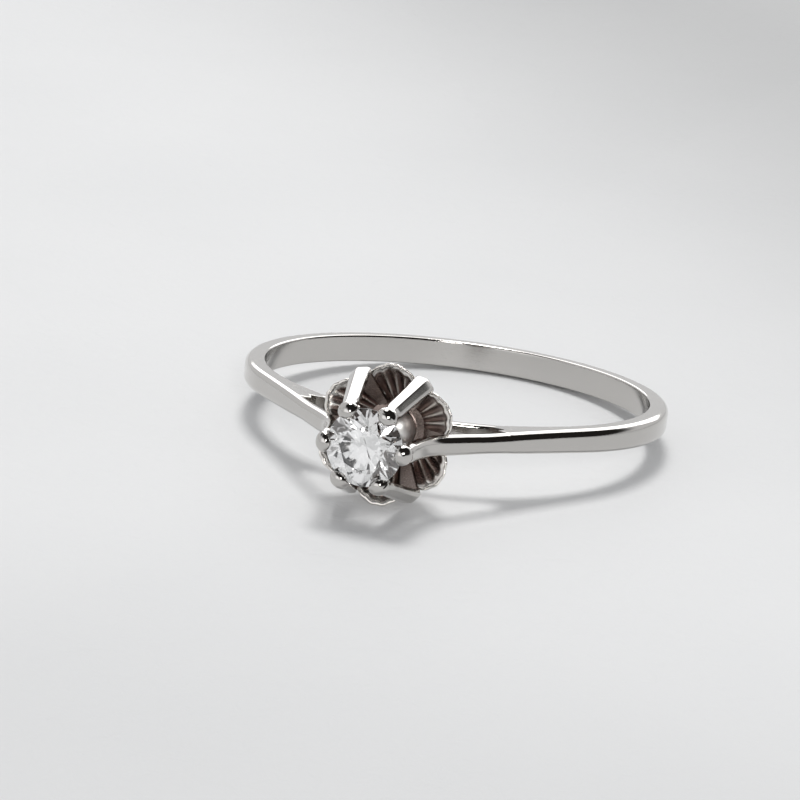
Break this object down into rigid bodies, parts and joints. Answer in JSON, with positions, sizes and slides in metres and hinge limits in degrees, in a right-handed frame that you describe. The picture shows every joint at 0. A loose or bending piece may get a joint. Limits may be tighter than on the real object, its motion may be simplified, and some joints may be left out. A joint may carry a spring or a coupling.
{
  "type": "engagement ring",
  "caption": "Slim split-shoulder solitaire ring with a fluted flower cup, claws and a round brilliant stone.",
  "frame": {"origin": "centre of the finger hole, on its axis, midway across the shank's width", "axes": "+Z along the finger, with the ring lying on its side; -Y from the finger's centre to the stone; +X towards the shoulder on the right when the stone is seen from the front"},
  "size_m": [0.0188, 0.0242, 0.006],
  "materials": {
    "shank_metal": "polished white gold",
    "cup_metal": "polished white gold, darkened in the flutes",
    "claw_metal": "polished white gold",
    "stone": "cut diamond"
  },
  "bodies": {
    "root": {"shank": "shank_metal", "bridge": "shank_metal", "shoulder_right": "shank_metal", "shoulder_left": "shank_metal", "cup_base": "cup_metal", "petal_1": "cup_metal", "petal_2": "cup_metal", "petal_3": "cup_metal", "petal_4": "cup_metal", "petal_5": "cup_metal", "petal_6": "cup_metal", "claw_upper_right": "claw_metal", "claw_upper_left": "claw_metal", "claw_lower_left": "claw_metal", "claw_lower_right": "claw_metal", "diamond": "stone"}
  },
  "joints": []
}
